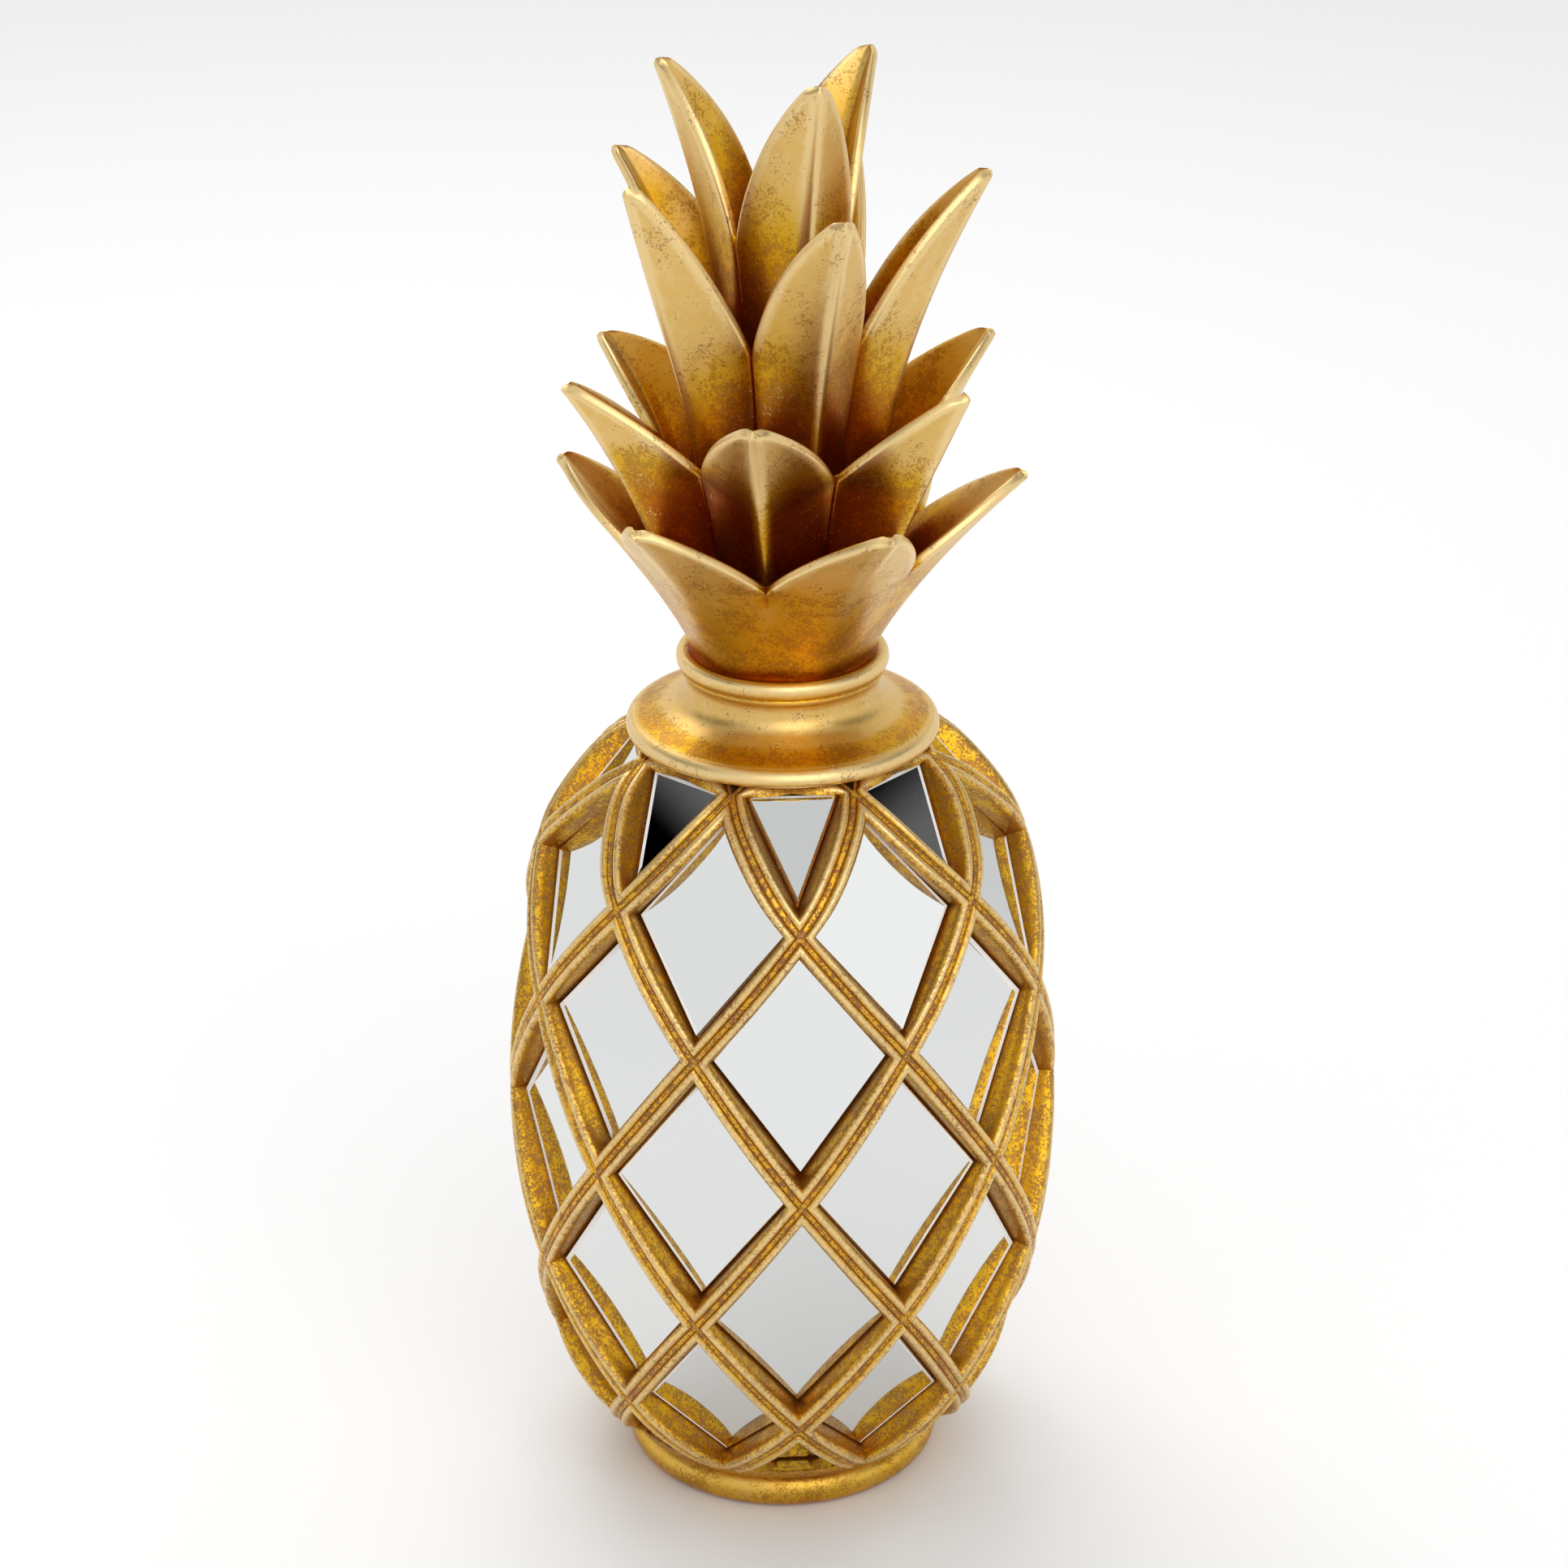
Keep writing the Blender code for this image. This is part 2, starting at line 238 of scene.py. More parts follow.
# Leaves: the thickness at keel and rim, the width of the band along the keel, the bulge of a wing, the
# width of the tip, the place where an edge swells most, the rounding of a rim and the depth of a seam
KEEL_THICKNESS = 0.0048
RIM_THICKNESS = 0.0028
KEEL_BAND = 0.0020
WING_BULGE = 0.0012
TIP_SIZE = 0.0054
EDGE_RISE = 0.62
RIM_ROUND = 0.0009
SEAM_DEPTH = 0.0007
LEAF_STEPS_BELOW = 12
LEAF_STEPS_ABOVE = 22
WING_STEPS = 7
# Places across the rounding of a rim, from the edge inwards, as shares of it
RIM_PLACES = (0.0, 0.12, 0.45, 1.0)
# How much of the space inside a tier its floor fills across
FLOOR_REACH = 0.86

# Colour patches on the leaves and the collar, in lumps to a metre, and streaks along the leaves
LEAF_PATCHES = 38
COLLAR_PATCHES = 45
STREAKS_ACROSS = 95
STREAKS_ALONG = 22

# Angles between faces above which an edge looks sharp
CASTING_SHARP = math.radians(50)
TILE_SHARP = math.radians(20)

# Studio, and the camera as it was fitted to the photograph
STUDIO_LIGHT = 1.2
MIDDLE_HEIGHT = 0.25
CAMERA_AZIMUTH = math.radians(-3.9)
CAMERA_PITCH = math.radians(24.26)
CAMERA_REACH = 1.1346
CAMERA_HEIGHT = 0.7460
CAMERA_LENS = 92.13
CAMERA_SENSOR = 36.0
CAMERA_SHIFT = 0.0009


def around(azimuth, radius, height):
    """The point at an azimuth, radius and height."""
    return Vector((radius * math.sin(azimuth), -radius * math.cos(azimuth), height))


def smooth_curve(points, steps):
    """A Catmull-Rom curve through the points, with steps spans between neighbours."""
    points = [Vector(point) for point in points]
    padded = [points[0], *points, points[-1]]
    curve = []
    for i in range(1, len(padded) - 2):
        before, start, end, after = padded[i - 1 : i + 3]
        for j in range(steps):
            t = j / steps
            linear = (end - before) * t
            square = (2 * before - 5 * start + 4 * end - after) * t**2
            cube = (3 * start - before - 3 * end + after) * t**3
            curve.append(0.5 * (2 * start + linear + square + cube))
    curve.append(points[-1])
    return curve


def smooth_step(low, high, value):
    """0 below low, 1 above high, and a smooth rise between."""
    t = min(1.0, max(0.0, (value - low) / (high - low)))
    return t * t * (3 - 2 * t)


BODY_CURVE = smooth_curve(BODY_OUTLINE, OUTLINE_STEPS)
ROW_CURVE = smooth_curve(
    [(height, 0.0) for height in (HEIGHT_ABOVE_ROWS, *CROSSING_HEIGHTS, HEIGHT_BELOW_ROWS)], ROW_STEPS
)


def girth(height):
    """The body's radius over the strands at a height."""
    for upper, lower in zip(BODY_CURVE, BODY_CURVE[1:]):
        if lower.y <= height <= upper.y:
            share = (upper.y - height) / (upper.y - lower.y)
            return upper.x + (lower.x - upper.x) * share
    return BODY_CURVE[0 if height > BODY_CURVE[0].y else -1].x


def row_height(row):
    """The height at a place among the rows of crossings, which need not be whole."""
    place = min(max((row + 1) * ROW_STEPS, 0.0), len(ROW_CURVE) - 1.001)
    i = int(place)
    return ROW_CURVE[i].x + (ROW_CURVE[i + 1].x - ROW_CURVE[i].x) * (place - i)


def over_body(turn, row):
    """The point over the body at a turn, counted in half steps, and a place among the rows."""
    height = row_height(row)
    return around(turn * HALF_STEP, girth(height), height)


def body_facing(turn, row):
    """The way the body's surface faces, and how much turn or row a metre across a strand takes."""
    small = 0.02
    sideways = (over_body(turn + small, row) - over_body(turn - small, row)) / (2 * small)
    downwards = (over_body(turn, row + small) - over_body(turn, row - small)) / (2 * small)
    facing = downwards.cross(sideways).normalized()
    if facing.xy.dot(over_body(turn, row).xy) < 0:
        facing.negate()
    return facing, math.hypot(1 / sideways.length, 1 / downwards.length)


def tile_plane(node):
    """The way a tile faces, and the level of its back along that."""
    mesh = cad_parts[node].data
    face = max(mesh.polygons, key=lambda polygon: polygon.area)
    facing = face.normal.copy()
    if facing.xy.dot(face.center.xy) < 0:
        facing.negate()
    return facing, min(facing.dot(vert.co) for vert in mesh.vertices)


class Cell:
    """One diamond of the lattice, from the middle lines of four strands to the seat of its tile."""

    def __init__(self, row):
        self.row = row
        self.turn = row % 2
        self.corners = [Vector(corner) for corner in ((1, 0), (0, -1), (-1, 0), (0, 1))]
        self.reach = [
            body_facing(self.turn + turn, row + fall)[1] for turn, fall in self.corners
        ]
        self.facing, back = tile_plane(f"mirror_row{row + 1}_1")
        self.floor = back - TILE_GAP
        self.seat = self.seat_corners()

    def seat_corners(self):
        """The corners of the recess's floor, in the order of the cell's corners."""
        right, upper, left, lower = (
            over_body(self.turn + turn, self.row + fall) for turn, fall in self.corners
        )
        shown = [right, upper, left, lower]
        if self.row == 0:
            shown.remove(upper)
        if self.row == len(CROSSING_HEIGHTS) - 1:
            shown.remove(lower)
        centre = sum(shown, Vector()) / len(shown)
        focus = centre - self.facing * FOCUS_REACH * centre.xy.length / self.facing.xy.length
        across = around(self.turn * HALF_STEP + math.pi / 2, 1.0, 0.0)
        slope = self.facing.cross(across)
        flat = []
        for corner in (right, upper, left, lower):
            ray = corner - focus
            point = focus + ray * (self.floor - self.facing.dot(focus)) / self.facing.dot(ray)
            flat.append(Vector((across.dot(point), slope.dot(point))))
        sides = []
        for i, start in enumerate(flat):
            along = (flat[(i + 1) % 4] - start).normalized()
            sides.append((start + Vector((-along.y, along.x)) * STRAND_HALF_WIDTH, along))
        corners = []
        for i, (start, along) in enumerate(sides):
            other_start, other_along = sides[i - 1]
            reach = (start - other_start).cross(along) / other_along.cross(along)
            where = other_start + other_along * reach
            corners.append(across * where.x + slope * where.y + self.facing * self.floor)
        return corners

    def on_strand(self, side, share, distance, depth):
        """The point of the strand's section, part of the way along a side of the cell."""
        ends = []
        for i in (side, (side + 1) % 4):
            ends.append(self.corners[i] * (1 - distance * self.reach[i]))
        turn, fall = ends[0].lerp(ends[1], share)
        facing, _ = body_facing(self.turn + turn, self.row + fall)
        return over_body(self.turn + turn, self.row + fall) - facing * depth

    def point(self, ring, side, share):
        """A point of the cell's pattern, with how stained and shaded, bare, and rubbed and highlighted
        it is painted.
        """
        last = len(STRAND_SECTION) - 1
        distance, depth, *finish = STRAND_SECTION[min(ring, last)]
        top = self.on_strand(side, share, distance * MM, depth * MM)
        if ring <= last:
            return top, finish
        bottom = self.seat[side].lerp(self.seat[(side + 1) % 4], share)
        # Down a wall the gilding darkens towards the tile: stained, with painted shade deeper in the
        # recess
        down, stain_and_shade = WALL_STEPS_AND_SHADE[ring - last - 1]
        return top.lerp(bottom, down), (stain_and_shade, WALL_GROUND, 0.0)


def finish_layers(bm):
    """The layers that say how stained and shaded, bare, and rubbed and highlighted the gilding is
    painted.
    """
    return [bm.verts.layers.float.get(name) or bm.verts.layers.float.new(name) for name in FINISH]


def set_finish(vert, layers, stain_and_shade, ground, rub_and_highlight):
    """Sets how stained and shaded, bare, and rubbed and highlighted the gilding is painted at a point.
    """
    for layer, value in zip(layers, (stain_and_shade, ground, rub_and_highlight)):
        vert[layer] = value


def blank_cell():
    """A flat disc of nested rings, to be bent into a cell of the lattice."""
    bm = bmesh.new()
    bmesh.ops.create_circle(bm, cap_ends=True, radius=1.0, segments=4 * SIDE_STEPS)
    for _ in range(len(STRAND_SECTION) + len(WALL_STEPS_AND_SHADE) - 1):
        middle = [face for face in bm.faces if len(face.verts) > 4]
        bmesh.ops.inset_region(
            bm, faces=middle, thickness=PATTERN_STEP, use_boundary=True, use_even_offset=True
        )
    return bm


def cell_mesh(row):
    """The first cell of a row."""
    cell = Cell(row)
    bm = blank_cell()
    layers = finish_layers(bm)
    steps_round = 4 * SIDE_STEPS
    for vert in bm.verts:
        ring = round((1 - vert.co.length) / PATTERN_STEP)
        place = round(math.atan2(vert.co.y, vert.co.x) / math.tau * steps_round) % steps_round
        side, step = divmod(place, SIDE_STEPS)
        vert.co, finish = cell.point(ring, side, step / SIDE_STEPS)
        set_finish(vert, layers, *finish)
    mesh = bpy.data.meshes.new(f"cell_{row}")
    bm.to_mesh(mesh)
    bm.free()
    return mesh


def cut_flat(bm, height, keep_below):
    """Cuts the mesh off level at a height, and gives the open edges there."""
    up = Vector((0, 0, 1 if keep_below else -1))
    geom = [*bm.verts, *bm.edges, *bm.faces]
    bmesh.ops.bisect_plane(bm, geom=geom, plane_co=(0, 0, height), plane_no=up, clear_outer=True)
    return [edge for edge in bm.edges if edge.is_boundary and abs(edge.verts[0].co.z - height) < MM / 10]


def new_piece(name, bm, node, materials, sharp_angle):
    """A finished piece that stands for a CAD node and rides on the root body."""
    mesh = bpy.data.meshes.new(name)
    bm.to_mesh(mesh)
    bm.free()
    mesh.shade_smooth()
    mesh.set_sharp_from_angle(angle=sharp_angle)
    for material in materials:
        mesh.materials.append(material)
    piece = bpy.data.objects.new(name, mesh)
    bpy.context.scene.collection.objects.link(piece)
    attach(piece, "root")
    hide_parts(node)


def add_cove(bm, layers):
    """Joins the cove to the lattice's lower edge, and closes it underneath."""
    edges = cut_flat(bm, FOOT_CUT, keep_below=False)
    for step in range(1, COVE_STEPS + 1):
        share = step / COVE_STEPS
        made = bmesh.ops.extrude_edge_only(bm, edges=edges)["geom"]
        edges = [item for item in made if isinstance(item, bmesh.types.BMEdge)]
        edges = [edge for edge in edges if edge.is_boundary]
        for vert in {vert for edge in edges for vert in edge.verts}:
            out = Vector(vert.co.xy)
            start = out.length
            radius = start + (COVE_FOOT[0] - start) * (1 / (COVE_STEPS + 1 - step))
            height = FOOT_CUT + (COVE_FOOT[1] - FOOT_CUT) * share
            vert.co = (*(out.normalized() * radius), height)
            set_finish(vert, layers, 0.45, 0.0, 0.0)
    bmesh.ops.holes_fill(bm, edges=edges, sides=0)


def add_foot_plug(bm, layers):
    """Adds the plug inside the foot."""
    before = set(bm.verts)
    add_turning(bm, [Vector(point) for point in FOOT_PLUG])
    for vert in set(bm.verts) - before:
        set_finish(vert, layers, 0.45, 0.3, 0.0)


def add_foot_ring(bm, layers):
    """Adds the rolled ring, darker low down with painted shade and paler along the top with a painted
    highlight.
    """
    before = set(bm.verts)
    circle = bmesh.ops.create_circle(bm, cap_ends=False, radius=FOOT_ROLL, segments=ROLL_STEPS)["verts"]
    upright = Matrix.Rotation(math.pi / 2, 3, "X")
    bmesh.ops.rotate(bm, verts=circle, cent=(0, 0, 0), matrix=upright)
    bmesh.ops.translate(bm, verts=circle, vec=(FOOT_RING_RADIUS, 0, FOOT_ROLL))
    edges = list({edge for vert in circle for edge in vert.link_edges})
    bmesh.ops.spin(
        bm, geom=circle + edges, cent=(0, 0, 0), axis=(0, 0, 1), angle=math.tau,
        steps=TURNING_STEPS, use_merge=True,
    )
    for vert in set(bm.verts) - before:
        # Painted shade low on the roll, near the floor, and a painted highlight along its top
        low = smooth_step(FOOT_ROLL, 0.0, vert.co.z)
        high = smooth_step(FOOT_ROLL * 1.1, FOOT_ROLL * 1.9, vert.co.z)
        set_finish(vert, layers, 0.36 + 0.4 * low, 0.0, 0.3 * high)


def make_body(gilding):
    """The lattice casting on its foot."""
    bm = bmesh.new()
    for row in range(len(CROSSING_HEIGHTS)):
        mesh = cell_mesh(row)
        for column in range(COLUMNS):
            before = len(bm.verts)
            bm.from_mesh(mesh)
            bm.verts.ensure_lookup_table()
            turn = Matrix.Rotation(2 * HALF_STEP * column, 3, "Z")
            bmesh.ops.rotate(bm, verts=bm.verts[before:], cent=(0, 0, 0), matrix=turn)
    bmesh.ops.remove_doubles(bm, verts=bm.verts, dist=MM / 50)
    cut_flat(bm, SHOULDER_CUT, keep_below=True)
    top = [edge for edge in bm.edges if edge.is_boundary and edge.verts[0].co.z > GIRTH_HEIGHT]
    cap = bmesh.ops.holes_fill(bm, edges=top, sides=0)["faces"]
    bmesh.ops.poke(bm, faces=cap)
    layers = finish_layers(bm)
    add_cove(bm, layers)
    add_foot_plug(bm, layers)
    add_foot_ring(bm, layers)
    bmesh.ops.recalc_face_normals(bm, faces=bm.faces)
    new_piece("body_casting", bm, "body", [gilding], CASTING_SHARP)


def bend_through(start, bend, end, t):
    """A quadratic curve from start to end, drawn towards bend."""
    return Vector(start) * (1 - t) ** 2 + Vector(bend) * 2 * t * (1 - t) + Vector(end) * t**2


def leaf_keel(tier, t):
    """The keel's point at t, and the direction into the leaf there, as (radius, height)."""
    base, bend, tip = (Vector(tier[key]) for key in ("base", "bend", "tip"))
    run = (bend - base) * (1 - t) + (tip - bend) * t
    return bend_through(base, bend, tip, t), Vector((-run.y, run.x)).normalized()


def leaf_edge(tier, t):
    """The right edge's point at t, and how far round from the keel it faces."""
    span = math.pi / tier["leaves"]
    share = tier["share"]
    radius, height = tier["notch"]
    keel, _ = leaf_keel(tier, t)
    parting, _ = leaf_keel(tier, share)
    if t <= share:
        height = keel.y + (height - parting.y) * t / share
        return around(span, radius * keel.x / parting.x, height), span
    above = (t - share) / (1 - share)
    start = around(span, radius, height)
    tip = Vector(tier["tip"])
    end = Vector((TIP_SIZE / 2, TIP_SIZE / 4 - tip.x, tip.y))
    full = start.lerp(end, EDGE_RISE)
    full.x = start.x * tier["fullness"]
    full.y = start.y + (end.y - start.y) * tier["lean"]
    return bend_through(start, full, end, above), span * (1 - above)


def leaf_point(tier, s, t):
    """The outer face of a front leaf's right half, s across and t along: point, way in and width."""
    (keel_radius, keel_height), (inward, rise) = leaf_keel(tier, t)
    edge, facing = leaf_edge(tier, t)
    keel = around(0.0, keel_radius, keel_height)
    into_keel = around(0.0, inward, rise)
    into_edge = around(facing, inward, rise)
    fold = smooth_step(*tier["fold"], t)
    start = keel + Vector((KEEL_BAND / 2 * (1 + t) / 2, 0.0, 0.0))
    middle = (start + edge) / 2 - into_keel * WING_BULGE * (1 - t)
    point = start * (1 - s) * (1 - 2 * s) + middle * 4 * s * (1 - s) + edge * s * (2 * s - 1)
    if fold < 1:
        share = smooth_step(0.0, 1.0, s)
        radius = keel_radius + (edge.xy.length - keel_radius) * share
        turn = math.atan2(start.x, keel_radius) * (1 - s) + math.atan2(edge.x, -edge.y) * s
        point = around(turn, radius, keel_height + (edge.z - keel_height) * share).lerp(point, fold)
    into = into_keel.lerp(into_edge, s).normalized()
    return point, into, (edge - start).length


def round_off(distance):
    """How far a face falls away this close to a rounded edge."""
    if distance >= RIM_ROUND:
        return 0.0
    return RIM_ROUND - math.sqrt(RIM_ROUND**2 - (RIM_ROUND - distance) ** 2)


def leaf_stations(tier):
    """The places along a leaf where its section is set, closer together towards the tip."""
    share = tier["share"]
    below = [share * i / LEAF_STEPS_BELOW for i in range(LEAF_STEPS_BELOW)]
    above = []
    for i in range(LEAF_STEPS_ABOVE + 1):
        part = i / LEAF_STEPS_ABOVE
        above.append(share + (1 - share) * (1 - (1 - part) ** 1.25))
    return below + above


def across_places(width):
    """The places across one wing, from the keel's band to the rim, for a wing this wide."""
    widest = width * 0.8 / (len(RIM_PLACES) - 1)
    rim = [1 - min(share * RIM_ROUND, widest * i) / width for i, share in enumerate(RIM_PLACES)]
    inner = rim[-1]
    return [inner * i / WING_STEPS for i in range(WING_STEPS)] + rim[::-1]


def leaf_finish(tier, t, to_rim, keel_gap, inside, spot):
    """How stained and shaded, bare, and rubbed and highlighted a leaf is: dark towards its base and
    seam, darker with a painted dark reflection on the leaf that faces the front, and pale along its rim
    and keel, rubbed and with a painted highlight.

    Its distances to the rim and to the keel's band are in mm.
    """
    patch = 0.5 + 0.5 * noise.noise(spot * LEAF_PATCHES)
    along = Vector((spot.x * STREAKS_ACROSS, spot.y * STREAKS_ACROSS, spot.z * STREAKS_ALONG))
    streak = 0.5 + 0.5 * noise.noise(along)
    low, high, depth = tier["base_darkening"]
    stain_and_shade = depth * smooth_step(high, low, t + 0.25 * (patch - 0.5))
    stain_and_shade += 0.24 * (streak - 0.5)
    turn = math.atan2(spot.x, -spot.y) - tier["azimuth"]
    # The leaf that faces the front is painted darker: a painted dark reflection
    stain_and_shade += tier["front_dark_reflection"] * smooth_step(0.76, 0.86, math.cos(turn))
    hollow = smooth_step(1.5, 5.0, keel_gap) * smooth_step(1.5, 5.0, to_rim)
    stain_and_shade += 0.30 * hollow * (patch - 0.35)
    if inside:
        stain_and_shade = 0.32 + 0.50 * smooth_step(0.8, 0.35, t) + 0.35 * (streak - 0.5)
        stain_and_shade -= 0.3 * smooth_step(0.8, 1.0, t)
    share = tier["share"]
    # Rims above the notch and the keel are paler: rubbed gilding with a painted highlight
    edge = smooth_step(2.8, 0.9, to_rim) * smooth_step(share - 0.05, share + 0.08, t)
    ridge = smooth_step(3.0, 1.0, keel_gap) * (1 - inside) * smooth_step(*tier["fold"], t)
    rub_and_highlight = max(0.85 * edge * (0.5 + 0.5 * streak), 0.85 * ridge)
    stain_and_shade = stain_and_shade * (1 - 0.6 * edge) * (1 - 0.55 * ridge)
    if t < share:
        seam = smooth_step(1.0, 0.3, to_rim) * tier["seam"]
        stain_and_shade = stain_and_shade * (1 - seam) + seam
    crack = smooth_step(1.6, 0.4, to_rim) * smooth_step(0.09, 0.02, abs(t - share + 0.03))
    stain_and_shade = max(stain_and_shade, crack * (0.6 + 0.6 * streak))
    return min(1.0, max(0.0, stain_and_shade)), 0.0, min(1.0, max(0.0, rub_and_highlight))


def add_leaf(bm, tier, k):
    """Adds the outer face of a tier's leaf, with the way into it kept for the inner face."""
    into_layer, thick_layer = bm.verts.layers.float_vector["into"], bm.verts.layers.float["thick"]
    place_layer = bm.verts.layers.float_vector["place"]
    stations = leaf_stations(tier)
    half = WING_STEPS + len(RIM_PLACES)
    columns = 2 * half + 1
    grid = bmesh.ops.create_grid(
        bm, x_segments=columns - 1, y_segments=len(stations) - 1, size=1.0
    )["verts"]
    further_round, further_out, higher = tier["odd_leaves"].get(k, (0.0, 0.0, 0.0))
    share = tier["share"]
    length = (Vector(tier["tip"]) - leaf_keel(tier, share)[0]).length
    for vert in grid:
        column = round((vert.co.x + 1) / 2 * (columns - 1)) - half
        t = stations[round((vert.co.y + 1) / 2 * (len(stations) - 1))]
        _, _, width = leaf_point(tier, 1.0, t)
        place = across_places(width)[abs(column) - 1] if column else 0.0
        point, into, _ = leaf_point(tier, place, t)
        point.x *= (column > 0) - (column < 0)
        into.x *= (column > 0) - (column < 0)
        above = max(0.0, (t - share) / (1 - share))
        to_tip = (1 - above) * length
        to_rim = (1 - place) * width
        if to_tip < TIP_SIZE / 2:
            point.x *= math.sqrt(max(0.02, 1 - (1 - to_tip / (TIP_SIZE / 2)) ** 2))
        if above > 0:
            fall = round_off(min(to_rim, to_tip))
        else:
            fall = tier["seam"] * SEAM_DEPTH * smooth_step(0.6, 0.0, to_rim / MM)
            fall *= smooth_step(0.2, 0.5, t / share)
        lift = above**2
        azimuth = tier["azimuth"] + math.tau * k / tier["leaves"] + further_round * lift
        turn = Matrix.Rotation(azimuth, 3, "Z")
        into = turn @ into
        vert.co = turn @ (point + around(0.0, further_out, higher) * lift) + into * fall
        vert[into_layer] = into
        thick = KEEL_THICKNESS + (RIM_THICKNESS - KEEL_THICKNESS) * max(place, t)
        vert[thick_layer] = thick - fall - (fall if above > 0 else 0.0)
        vert[place_layer] = (t, to_rim / MM, place * width / MM)


def add_tier(crown, tier):
    """Adds a tier of leaves to the crown."""
    bm = bmesh.new()
    layers = finish_layers(bm)
    thick = bm.verts.layers.float.new("thick")
    into = bm.verts.layers.float_vector.new("into")
    place = bm.verts.layers.float_vector.new("place")
    for k in range(tier["leaves"]):
        add_leaf(bm, tier, k)
    bmesh.ops.remove_doubles(bm, verts=bm.verts, dist=MM / 50)
    bmesh.ops.recalc_face_normals(bm, faces=bm.faces)
    made = bmesh.ops.extrude_face_region(bm, geom=bm.faces[:], use_keep_orig=True)["geom"]
    inner = {item for item in made if isinstance(item, bmesh.types.BMVert)}
    for vert in inner:
        vert.co += vert[into] * vert[thick]
    for vert in bm.verts:
        t, to_rim, keel_gap = vert[place]
        finish = leaf_finish(tier, t, to_rim, keel_gap, vert in inner, vert.co)
        set_finish(vert, layers, *finish)
    bmesh.ops.recalc_face_normals(bm, faces=bm.faces)
    for name in ("thick", "into", "place"):
        for kind in (bm.verts.layers.float, bm.verts.layers.float_vector):
            if name in kind:
                kind.remove(kind[name])
    mesh = bpy.data.meshes.new("tier")
    bm.to_mesh(mesh)
    bm.free()
    crown.from_mesh(mesh)


def add_turning(bm, points):
    """Adds a closed solid turned about Z from (radius, height) points that run from the top down."""
    ends = [(0.0, points[0].y), (0.0, points[-1].y)]
    outline = [ends[0], *points, ends[1]]
    verts = [bm.verts.new((radius, 0.0, height)) for radius, height in outline]
    edges = [bm.edges.new(pair) for pair in zip(verts, verts[1:])]
    before = set(bm.verts) - set(verts)
    bmesh.ops.spin(
        bm, geom=verts + edges, cent=(0, 0, 0), axis=(0, 0, 1), angle=math.tau,
        steps=TURNING_STEPS, use_merge=True,
    )
    turned = [vert for vert in bm.verts if vert not in before]
    bmesh.ops.remove_doubles(bm, verts=turned, dist=MM / 100)


def add_collar(crown):
    """Adds the turned collar: a bead, a neck and a broad flange. Its finish is placed in mm."""
    layers = finish_layers(crown)
    add_turning(crown, smooth_curve([(r * MM, z * MM) for r, z in COLLAR_OUTLINE], 3))
    for vert in crown.verts:
        radius, height = Vector(vert.co.xy).length / MM, vert.co.z / MM
        patch = 0.5 + 0.5 * noise.noise(vert.co * COLLAR_PATCHES)
        groove = smooth_step(30.2, 28.6, radius) * smooth_step(279.0, 280.0, height)
        under_bead = smooth_step(0.7, 0.2, abs(height - 275.8)) * 0.7
        neck = smooth_step(8.0, 0.0, abs(height - 269.5)) * 0.12
        slope = smooth_step(34.0, 41.0, radius) * smooth_step(46.5, 43.5, radius)
        # The bead's top and the flange's rim are painted pale: rubbed gilding with a painted highlight
        # along them
        bead = smooth_step(1.8, 0.4, math.hypot(radius - 31.8, height - 279.6))
        rim = smooth_step(2.0, 0.6, math.hypot(radius - 47.4, height - 257.8))
        stain_and_shade = max(groove, under_bead, neck + slope * (0.42 + 0.30 * patch))
        set_finish(vert, layers, min(1.0, stain_and_shade), 0.0, 0.9 * max(bead, rim))


def add_floors(crown):
    """Adds the filling inside each tier, which the next tier stands on."""
    layers = finish_layers(crown)
    before = set(crown.verts)
    for tier in TIERS:
        keel, _ = leaf_keel(tier, tier["floor"])
        edge, _ = leaf_edge(tier, tier["floor"])
        radius = (Vector(edge.xy).length - RIM_THICKNESS) * FLOOR_REACH
        top = keel.y - 2 * MM
        outline = [(radius * 0.6, top), (radius, top - MM), (radius, top - 4 * MM)]
        add_turning(crown, [Vector(point) for point in outline])
    for vert in crown.verts:
        if vert not in before:
            set_finish(vert, layers, 0.50, 0.75, 0.0)


def make_crown(gilding):
    """The leaf crown on its collar."""
    crown = bmesh.new()
    add_collar(crown)
    add_floors(crown)
    bmesh.ops.recalc_face_normals(crown, faces=crown.faces)
    for tier in TIERS:
        add_tier(crown, tier)
    new_piece("crown_casting", crown, "crown", [gilding], CASTING_SHARP)


